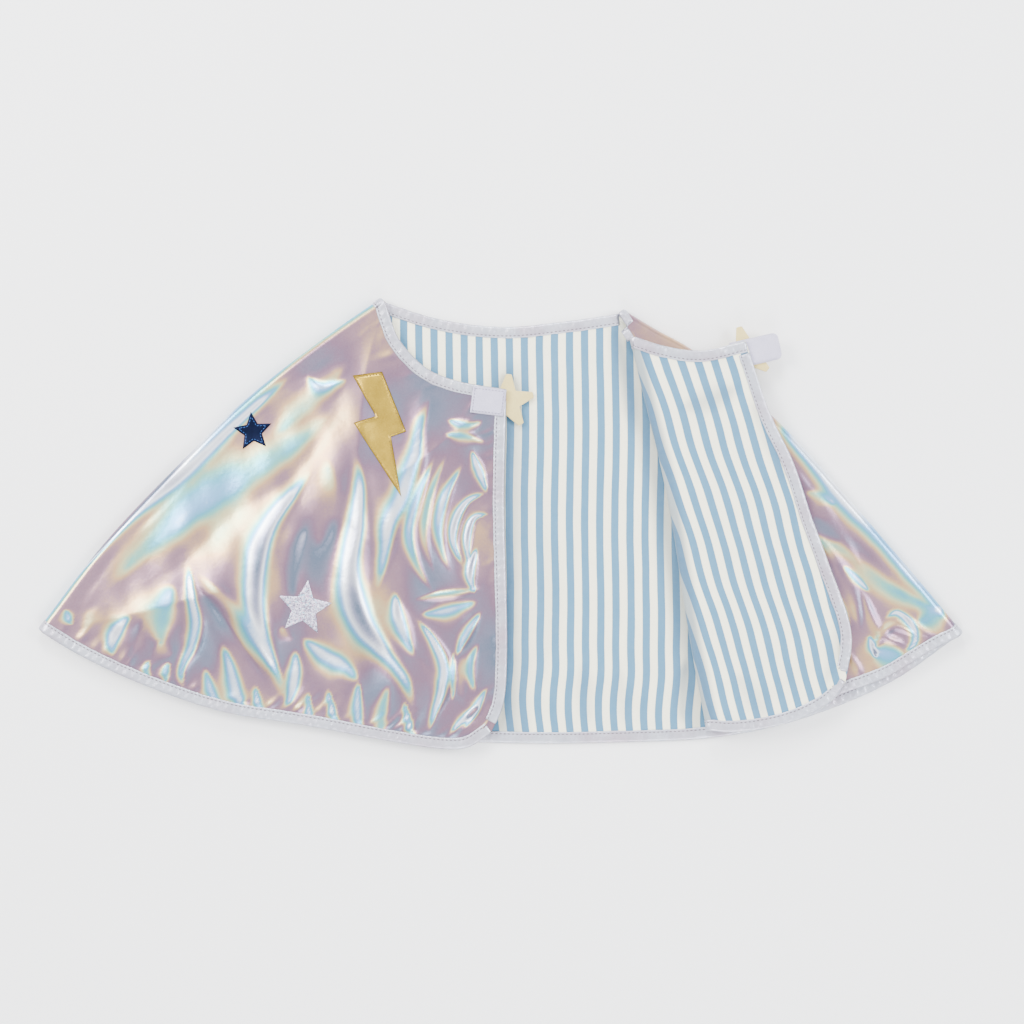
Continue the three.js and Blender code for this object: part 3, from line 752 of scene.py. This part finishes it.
ridged = ridged + puckers(across, hem_away, 11, 10.5, 1.5, 2.8, 26)
ridged = ridged + puckers(across, down, 12, 14, 0.9, 2.6, 22)
ridged = ridged + puckers(down, across[:, -1:] - across, 13, 13, 1.0, 2.4, 20)
soft = 0.8 * wave(x, y, 71, 35, 0.3) + 0.5 * wave(x, y, 43, -24, 1.7) + 0.2 * wave(x, y, 24, 18, 2.9)
ridged = ridged + 0.5 * crumple(left_grid, 30, 7.5)
held_down = smooth((near - 7.2) / 6)
left_grid += flat_left_n * (left_lift + held_down * (ridged + soft * smooth(near / 40)))[..., None]
left_n = facing(left_grid, 1)

# the left front's film colours are painted reflection, from each point's lean and the folds' runs of colour
left_painted_reflection = painted_reflection_values(left_grid, left_n, [(points, turn, width) for points, _, width, turn in left_folds])
left_pieces = two_plies(
    "left_front", ("left_side", "left_front"), left_grid, left_n, left_painted_reflection, stripes_across(left_grid),
    np.full(x.shape, 0.25), ("left_front_lining", "back_lining"))
left_outer = left_pieces[0]
left_strips, left_runs = bound_edges("left", left_grid, left_n, (
    ("neck", ["neck_binding_left_side", "neck_binding_left_front"], 21),
    ("hem", ["hem_binding_left_side", "hem_binding_left_front"], 22),
    ("front", ["front_binding_left"], 23)))
left_stitches = stitches("left_front_stitches", left_runs, binding_thread)
for piece in left_pieces + left_strips + [left_stitches]:
    between_bodies(piece, left_hinge, left_out)

# ---- Right front ------------------------------------------------------------------------------
# The right front is carried round the right side fold in the same way. Most of it is hidden under
# the flap that is turned back over it; a triangle of the holographic fabric shows by the side.

right_panel = panel(
    right_centre, turned_centre, edge((87.1, 155.8), (93, 147), (98.9, 138.1)),
    edge((341, -85.8), (322, -95), (286, -115.4), (246, -130), (200, -147), (150.6, -155.4)),
    front_z, 130, 170)
right_grid = folded_over(right_centre, right_out, side_bend, back_z, right_panel)
right_flat = flat_area(right_grid)
flat_right_n = facing(right_grid, 1)
right_hems, down, across = edge_distance(right_grid, columns=(False, False))
near = np.minimum(right_hems, np.maximum(across - turn_length, 0))
hem_away = down[-1:] - down
x, y = right_grid[..., 0], right_grid[..., 1]
right_ridges = [
    (((268, -50), (284, -84), (304, -92)), 1.6, 3.4), (((276, -96), (292, -78), (312, -86)), 1.8, 3.0),
    (((214, 48), (246, 0), (272, -40)), 0.9, 6.0), (((236, -8), (262, -50), (268, -84)), 1.2, 4.6),
    (((300, -70), (318, -84), (330, -86)), 1.3, 3.0), (((258, -96), (266, -110), (268, -122)), 1.2, 2.8),
]
ridged = sum(bump_along(right_grid, *ridge) for ridge in right_ridges)
ridged = ridged + puckers(across, hem_away, 31, 9, 1.0, 2.2, 16)
soft = 0.25 * wave(x, y, 52, 40, 0.9) + 0.2 * wave(x, y, 31, -35, 0.2)
from_turn = across[:, -1:] - across
right_grid += flat_right_n * (smooth((near - 7.2) / 6) * smooth(from_turn / 12)
                              * (np.minimum(ridged, 2.2) + soft))[..., None]
right_n = facing(right_grid, 1)
right_reflection_runs = [
    # each run of painted reflection colour's points, how far it turns the colour, and how wide it is
    (((196.6, 85.8), (249.2, 28.4), (297.1, -26.6), (341, -80)), 0.62, 7.5),
    (((222, -2), (232.5, -9.9), (258.8, -24.2), (285.1, -45.7), (326, -68)), 0.34, 8.0),
    (((226, 23), (238, 20), (250, 13)), 0.24, 4.0), (((232.5, 4.5), (254, -14.6)), -0.10, 5.0),
    (((246.8, -30), (258.8, -57.7), (266, -78)), 0.10, 5.0), (((254, -31.4), (275, -52)), 0.48, 3.0),
    (((247, -48), (260, -78)), 0.46, 3.0), (((274.3, -84), (280, -102)), 0.50, 2.6),
    (((285.1, -72), (294.7, -67.3), (306.6, -76.8), (309, -88.8), (300, -100)), 0.55, 3.4),
    (((310, -76), (330, -64)), 0.34, 9.0), (((276, -96), (302, -100)), 0.34, 8.0),
]
# the right front's film colours are painted reflection, from each point's lean and these runs
right_painted_reflection = painted_reflection_values(right_grid, right_n, right_reflection_runs)
right_pieces = two_plies(
    "right_front", ("right_side", "right_front"), right_grid, right_n, right_painted_reflection,
    stripes_across(right_grid), np.full(x.shape, 0.25),
    ("right_front_lining", "back_lining"))
gathered_width = 6.0
gathered_cut = 0.0145    # what the gathered binding measures across, unfolded, in metres
right_runs = []
for which, nodes, seed in (("neck", ["neck_binding_right_side", "neck_binding_right_front"], 41),
                           ("hem", ["hem_binding_right_side", "hem_binding_right_front"], 42)):
    line, inner, square = border(right_grid, right_n, which)
    reach, unfolded = binding_width, binding_cut
    if which == "neck":  # the short neck edge curls through both folds, so its binding is gathered in
        reach, unfolded = gathered_width, gathered_cut
        places, (line, inner, square) = resample(0.8, line, inner, square)
        spread = np.exp(-((places[:, None] - places[None]) / 5.0) ** 2)
        spread /= spread.sum(axis=1, keepdims=True)
        inner, square = spread @ inner, spread @ square
        inner /= np.linalg.norm(inner, axis=1, keepdims=True)
    strip, length = binding_strip(f"right_{which}_binding", line, inner, square, seed, (False, False), reach)
    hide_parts(*nodes)
    right_pieces.append(strip)
    if which == "hem":
        right_runs.append(seam_of(line, inner, square))
right_stitches = stitches("right_front_stitches", right_runs, binding_thread)
for piece in right_pieces + [right_stitches]:
    between_bodies(piece, right_hinge, right_out)

# ---- Right flap -------------------------------------------------------------------------------
# The front edge of the right front is turned back along a slanted fold, so its cotton lining is up.
# The stripes lean with the fold, and the bound front edge waves a little down its length.

flap_panel = panel(
    turned_centre, edge((181.5, 135), (200, 80.6), (217.5, 43.4), (230.6, 4.2), (243.6, -31.3),
                        (260.4, -83.5), (256, -119)),
    edge((98.9, 138.1), (121.4, 131), (148.5, 127.7), (181.5, 135)),
    edge((150.6, -155.4), (163, -156.5), (190, -154), (222.3, -145.4), (246.7, -131.6), (256, -119)),
    flap_z, 120, 180)
flap_grid = folded_over(turned_centre, turned_out, turned_bend, front_z, flap_panel)
flap_flat = flat_area(flap_grid)
flat_flap_n = facing(flap_grid, -1)
flap_hems, down, across = edge_distance(flap_grid, columns=(False, True))
near = np.minimum(flap_hems, np.maximum(across - math.pi * turned_bend, 0))
x, y = flap_grid[..., 0], flap_grid[..., 1]
soft = 0.8 * wave(x, y, 66, 62, 0.2) + 0.5 * wave(x, y, 40, 14, 1.1) + 0.35 * wave(x, y, 24, -50, 0.5)
from_front = across[:, -1:] - across
soft = soft + 0.6 * smooth(1 - from_front / 45) * np.sin(down * 2 * math.pi / 43)
soft = soft + puckers(down, from_front, 51, 16, 0.8, 3.4, 22)
soft = soft + puckers(across, down[-1:] - down, 52, 12, 0.9, 3, 18)
flap_lift = 4 * smooth((near - 9) / 60) + smooth((near - 7.2) / 8) * soft
flap_grid -= flat_flap_n * flap_lift[..., None]
flap_n = facing(flap_grid, -1)
flap_shadow = 0.75 * smooth(1 - (across - math.pi * turned_bend) / 9)
flap_shadow = flap_shadow + sum(bump_along(flap_grid, *shade) for shade in (
    (((130, 84), (153.5, 90.6), (180, 102)), 0.42, 9.0),
    (((182, 98), (196.6, 66.7), (214, 26)), 0.30, 6.0),
    (((247, -50), (252, -88.8), (236, -128)), 0.30, 7.0),
    (((170, -110), (186, -128), (200, -150)), 0.25, 9.0)))
sway = 0.6 * wave(x, y, 95, 104, 0.6) + 0.3 * wave(x, y, 46, 76, 2.0)
# the flap's outer film colours are painted reflection, set by how the cloth leans
flap_pieces = two_plies(
    "right_flap", ("turned_fold", "right_flap"), flap_grid, flap_n, painted_reflection_values(flap_grid, flap_n, base=0.2),
    stripes_across(flap_grid, 18.5, 15.5) + sway, np.clip(flap_shadow, 0, 1),
    ("right_front_outer", "right_flap_outer"))
flap_strips, flap_runs = bound_edges("flap", flap_grid, -flap_n, (
    ("neck", ["neck_binding_turned_fold", "neck_binding_right_flap"], 61),
    ("hem", ["hem_binding_turned_fold", "hem_binding_right_flap"], 62),
    ("front", ["front_binding_flap"], 63)))
flap_stitches = stitches("right_flap_stitches", flap_runs, binding_thread)
for piece in flap_pieces + flap_strips + [flap_stitches]:
    between_bodies(piece, flap_hinge, turned_out, 5.0, 3.0)

# ---- Appliques --------------------------------------------------------------------------------
# A gold foil lightning bolt, a glitter star and a small navy foil star are cut from sheet and sewn
# flat to the holographic fabric; the foils are stitched just inside their edges.


def height_above(piece):
    """How high a piece of cloth lies at a place, in mm, looking straight down on it."""
    mesh = piece.data
    tree = BVHTree.FromPolygons([v.co for v in mesh.vertices], [p.vertices for p in mesh.polygons])
    top = Vector((0, 0, 1))
    return lambda px, py: tree.ray_cast(Vector((px, py, 0)) * MM + top, -top)[0].z / MM + outer_ply / 2


def turned_outline(corners, place, degrees):
    a = math.radians(degrees)
    spin = np.array([[math.cos(a), math.sin(a)], [-math.sin(a), math.cos(a)]])
    return np.array(corners, float) @ spin + place + pattern_origin


def star(radius, inner, blunt=0.0):
    points = []
    for k in range(5):
        a = math.pi / 2 + k * math.tau / 5
        for tip in ([a - blunt, a + blunt] if blunt else [a]):
            points.append((radius * math.cos(tip), radius * math.sin(tip)))
        notch = a + math.pi / 5
        points.append((inner * radius * math.cos(notch), inner * radius * math.sin(notch)))
    return points


def inner_outline(corners, margin):
    """The outline a margin inside another, corner by corner."""
    moved = []
    n = len(corners)
    for k in range(n):
        before, here, after = corners[k - 1], corners[k], corners[(k + 1) % n]
        d1 = (here - before) / np.linalg.norm(here - before)
        d2 = (after - here) / np.linalg.norm(after - here)
        n1, n2 = np.array([-d1[1], d1[0]]), np.array([-d2[1], d2[0]])
        middle = (n1 + n2) / max(1 + n1 @ n2, 0.12)
        moved.append(here + middle * margin)
    return np.array(moved)


def outline_distance(points, corners):
    best = np.full(len(points), 1e9)
    for a, b in zip(corners, np.roll(corners, -1, axis=0)):
        along = b - a
        t = np.clip(((points - a) @ along) / (along @ along), 0, 1)
        best = np.minimum(best, np.linalg.norm(points - a - t[:, None] * along, axis=1))
    return best


def cut_sheet(name, corners, height, thickness, puff, rim, cuts=9, creases=()):
    """A shape cut from sheet and laid on the cloth: it stands puff mm off it, less at its rim."""
    bm = bmesh.new()
    ring = [bm.verts.new((*c, 0)) for c in corners]
    bm.faces.new(ring)
    bm.normal_update()
    bmesh.ops.triangulate(bm, faces=bm.faces[:])
    bmesh.ops.subdivide_edges(bm, edges=bm.edges[:], cuts=cuts, use_grid_fill=True)
    bmesh.ops.remove_doubles(bm, verts=bm.verts[:], dist=1e-4)
    flat = np.array([v.co[:2] for v in bm.verts])
    away = outline_distance(flat, np.array(corners))
    stand = thickness / 2 + 0.08 + puff * smooth(away / rim)
    for crease, depth, width in creases:
        line = edge(*crease)(np.linspace(0, 1, 30))
        off = np.linalg.norm(flat[:, None] - line[None], axis=2).min(axis=1)
        stand -= depth * np.exp(-(off / width) ** 2)
    for vert, place, lift in zip(bm.verts, flat, stand):
        vert.co = Vector((place[0], place[1], height(*place) + max(lift, thickness / 2 + 0.05))) * MM
    for face in bm.faces:
        face.smooth = True
    bmesh.ops.recalc_face_normals(bm, faces=bm.faces[:])
    piece = finish_piece(name, bm)
    solid = piece.modifiers.new("thickness", "SOLIDIFY")
    solid.thickness = thickness * MM
    solid.offset = 0
    return piece


def seam_round(corners, margin, height, lift, spacing):
    ring = inner_outline(corners, margin)
    ring = np.vstack([ring, ring[:1]])
    along = arc_length(ring)
    places = np.arange(0, along[-1], 1.0)
    line = np.stack([np.interp(places, along, ring[:, k]) for k in (0, 1)], axis=1)
    tall = np.array([height(*p) + lift for p in line])
    return np.column_stack([line, tall]), np.tile([0.0, 0.0, 1.0], (len(line), 1)), spacing


def brushed_foil(light, dark, tint):
    def build(shade):
        cloudy = noise(shade, 14, 3.0, 0.6)
        grain = noise(shade, 0.7, 2.0)
        lines = noise(shade, 3.2, 3.0, 0.6)
        colour = mix(shade, cloudy, dark, light)
        return {"Base Color": mix(shade, grain * 0.35, colour, tint),
                "Normal": relief(shade, lines + grain * 0.25, 0.35, 0.5), "Roughness": 0.26 + grain * 0.2}
    return build


gold = material("gold_foil", brushed_foil(linear(180, 146, 42), linear(116, 88, 16), linear(222, 196, 88)),
                metallic=0.9)
navy = material("navy_foil", brushed_foil(linear(0, 9, 38), linear(0, 2, 16), linear(6, 24, 68)),
                metallic=0.85)


def glitter_flakes(shade):
    where = at(shade, (0.9, 0.9, 0.9))
    flake = shade.node("ShaderNodeTexVoronoi", {"feature": "F1"}, {"Vector": where, "Scale": 1.0}, output=1)
    parts = shade.node("ShaderNodeSeparateColor", {}, {"Color": flake})
    tone = shade.node("ShaderNodeValToRGB", {"stops": [
        (0.0, linear(120, 114, 136)), (0.35, linear(184, 176, 198)), (0.6, linear(206, 198, 220)),
        (0.8, linear(230, 226, 238)), (0.93, linear(120, 176, 200)), (1.0, linear(206, 140, 180))]},
        {"Fac": parts})
    return {"Base Color": tone, "Roughness": 0.2 + parts * 0.4, "Normal": relief(shade, parts, 0.45, 0.9)}


glitter = material("glitter_fabric", glitter_flakes, metallic=0.5, specular_tint=(1, 1, 1, 1))
gold_thread = material("gold_thread", spun_thread(linear(150, 112, 44), linear(70, 48, 16)), roughness=0.5)
blue_thread = material("blue_thread", spun_thread(linear(40, 100, 168), linear(12, 44, 104)), roughness=0.5)

on_left = height_above(left_outer)
bolt_share = [(0, 0.03), (0.55, 0), (1, 0.477), (0.72, 0.52), (0.92, 1), (0.03, 0.41), (0.44, 0.355)]
bolt_width, bolt_length = 40.0, 93.5
bolt_corners = turned_outline([((px - 0.5) * bolt_width, (0.5 - py) * bolt_length) for px, py in bolt_share],
                              (-91.5, 65.5), 0)[::-1]
glitter_corners = turned_outline(star(21, 0.46), (-147, -63.8), -8)
blue_corners = turned_outline(star(15, 0.46), (-186, 67.5), 6)


def polygon_area(corners):
    ahead = np.roll(corners, -1, axis=0)
    return float(abs((corners[:, 0] * ahead[:, 1] - corners[:, 1] * ahead[:, 0]).sum())) / 2 * MM * MM


applied = [
    ("gold_bolt", bolt_corners, gold, "gold_foil", "left_front", gold_thread, (0.040, 0.0935), 0.5,
     [(((-116, 84), (-96, 78), (-76, 82)), 0.5, 1.6), (((-104, 62), (-92, 58), (-78, 61)), 0.45, 1.4)]),
    ("glitter_star", glitter_corners, glitter, "glitter_fabric", "left_front", None, (0.040, 0.038), 0.4, []),
    ("blue_star", blue_corners, navy, "navy_foil", "back", blue_thread, (0.0286, 0.0272), 0.4, []),
]
for name, corners, finish, slot_name, body, thread, cut, puff, creases in applied:
    piece = cut_sheet(f"{name}_cloth", corners, on_left, 0.5, puff, 2.2, creases=creases)
    piece.data.materials.append(finish)
    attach(piece, body)
    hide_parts(name)
    polygon_area(corners)
    if thread:
        run = seam_round(corners, 1.5, on_left, 0.5 + puff * 0.75 + 0.2, 2.3)
        seam = stitches(f"{name}_stitches", [run], thread, 1.7, 0.45)
        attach(seam, body)

# ---- Padded corner stars ----------------------------------------------------------------------
# Two stars of thick cream felt are sewn behind the neck corners, and their points show past them.


def cream_felt_finish(shade):
    fibres = noise(shade, 1.4, 5.0, 0.7)
    soft_tone = noise(shade, 12, 2.0)
    base = mix(shade, soft_tone, linear(206, 184, 112), linear(226, 208, 138))
    return {"Base Color": mix(shade, fibres * 0.5, base, linear(176, 148, 94)),
            "Normal": relief(shade, fibres, 0.5, 0.9)}


felt = material("cream_felt", cream_felt_finish, roughness=0.95, sheen_weight=0.5, sheen_roughness=0.6)
for name, place, degrees, body in (("left_star", (3.7, 90.3), -4, "left_front"),
                                   ("right_star", (182.5, 126.2), 16, "right_flap")):
    low, high = (corner[2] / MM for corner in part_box(name))
    corners = turned_outline(star(20.5, 0.5, math.radians(6)), place, degrees)
    bm = bmesh.new()
    bm.faces.new([bm.verts.new((*Vector(c) * MM, low * MM)) for c in corners])
    raised = bmesh.ops.extrude_face_region(bm, geom=bm.faces[:])["geom"]
    raised = [v for v in raised if isinstance(v, bmesh.types.BMVert)]
    bmesh.ops.translate(bm, vec=(0, 0, (high - low) * MM), verts=raised)
    bmesh.ops.recalc_face_normals(bm, faces=bm.faces[:])
    bmesh.ops.bevel(bm, geom=bm.edges[:], offset=0.75 * MM, segments=3, profile=0.5, affect="EDGES",
                    material=-1)
    for face in bm.faces:
        face.smooth = True
    piece = finish_piece(f"{name}_felt", bm)
    piece.data.materials.append(felt)
    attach(piece, body)
    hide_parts(name)

# ---- Hook-and-loop tape -----------------------------------------------------------------------
# The cape closes at the neck with a loop piece sewn flat on the left front's corner and a hook tab
# sewn under the flap's corner, whose rounded free end sticks out.


def brushed_tape(shade):
    pile = noise(shade, 0.8, 4.0, 0.7)
    broad = noise(shade, 7, 2.0)
    base = mix(shade, broad, linear(192, 188, 214), linear(216, 212, 230))
    return {"Base Color": mix(shade, pile * 0.5, base, linear(126, 120, 152)),
            "Normal": relief(shade, pile, 0.6, 0.9)}


tape = material("fastening_tape", brushed_tape, roughness=0.9, sheen_weight=0.35)
tape_thread = material("tape_thread", spun_thread(linear(150, 144, 172), linear(86, 80, 106)), roughness=0.5)
tape_width, tape_corner = 20.0, 4.0


def tape_outline(length, back, corner, place, degrees):
    half = tape_width / 2
    arc = [(length - corner + corner * math.cos(a), corner * math.sin(a))
           for a in np.linspace(0, math.pi / 2, 5)]
    far = [(px, half - corner + py) for px, py in arc]
    points = [(-back, -half)] + [(px, -py) for px, py in far[::-1]] + far + [(-back, half)]
    return turned_outline(points, place, degrees)


binding_top = binding_half + binding_ply / 2 + 0.25
patch_corners = tape_outline(25, 0, 0.6, (2.2, 88.8), 173)
tab_root, tab_turn = (185.4, 126.9), 13
tab_corners = tape_outline(22.4, 14, tape_corner, tab_root, tab_turn)
tab_level = (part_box("hook_tab")[0][2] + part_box("hook_tab")[1][2]) / 2 / MM
for name, corners, level, nodes, cut in (
        ("loop_patch_tape", patch_corners, front_z + binding_top, ["loop_patch"], (0.025, 0.020)),
        ("hook_tab_tape", tab_corners, tab_level - 0.6, ["hook_tab_root", "hook_tab"], (0.0364, 0.020))):
    piece = cut_sheet(name, corners, lambda px, py: level, 0.9, 0.35, 1.5, cuts=7)
    piece.data.materials.append(tape)
    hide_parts(*nodes)
    polygon_area(corners)
    if name == "loop_patch_tape":
        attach(piece, "left_front")
        run = seam_round(corners, 1.6, lambda px, py: level, 1.45, 2.4)
        seam = stitches(f"{name}_stitches", [run], tape_thread, 1.8, 0.5)
        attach(seam, "left_front")
    else:
        run = np.array([math.cos(math.radians(tab_turn)), math.sin(math.radians(tab_turn))])
        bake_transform(piece)

# ---- Studio -----------------------------------------------------------------------------------
# A pale floor, large soft lights and a camera straight above the cape.

floor_bm = bmesh.new()
bmesh.ops.create_grid(floor_bm, x_segments=1, y_segments=1, size=3)
bmesh.ops.translate(floor_bm, vec=(0, 0, -0.0006), verts=floor_bm.verts[:])
floor = finish_piece("floor", floor_bm)


def pale_boards(shade):
    return {"Base Color": mix(shade, noise(shade, 400, 1.0), (0.93, 0.93, 0.935), (0.95, 0.95, 0.95))}


floor.data.materials.append(material("pale_floor", pale_boards, roughness=0.7))

world = bpy.data.worlds.new("studio")
world.use_nodes = True
sky = Shade(world.node_tree)
over = sky.node("ShaderNodeSeparateXYZ", {}, {"Vector": sky.node("ShaderNodeTexCoord")}, output=2)
# softboxes overhead and round the walls, with a darker band between them for the foil to reflect
sky_stops = [(0.0, (0.95, 0.95, 0.95)), (0.42, (0.85, 0.87, 0.90)), (0.66, (0.42, 0.45, 0.52)),
             (0.84, (0.98, 0.98, 1.0)), (1.0, (1.0, 1.0, 1.0))]
tone = sky.node("ShaderNodeValToRGB", {"stops": sky_stops}, {"Fac": over})
background = world.node_tree.nodes["Background"]
world.node_tree.links.new(tone.socket, background.inputs["Color"])
background.inputs["Strength"].default_value = 2.1
bpy.context.scene.world = world

for name, place, size, power, colour in (
        ("light_left", (-1.3, 0.7, 1.5), 0.9, 62, (1.0, 0.98, 0.95)),
        ("light_right", (1.4, 0.3, 1.4), 0.8, 40, (0.94, 0.97, 1.0)),
        ("light_near", (0.2, -1.5, 1.3), 0.9, 30, (1.0, 1.0, 1.0)),
        ("light_far", (-0.2, 1.6, 1.2), 0.5, 34, (0.97, 0.98, 1.0))):
    lamp = bpy.data.lights.new(name, "AREA")
    lamp.size, lamp.energy, lamp.color = size, power, colour
    light = bpy.data.objects.new(name, lamp)
    light.location = place
    light.rotation_euler = (-Vector(place)).to_track_quat("-Z", "Y").to_euler()
    bpy.context.scene.collection.objects.link(light)

lens = bpy.data.cameras.new("camera")
camera_height = 2.4
seen_width = 0.768  # how much of the table the camera takes in, in metres
lens.lens = lens.sensor_width * camera_height / seen_width
camera = bpy.data.objects.new("camera", lens)
camera.location = (0.0085, 0.0084, camera_height)
bpy.context.scene.collection.objects.link(camera)
bpy.context.scene.camera = camera
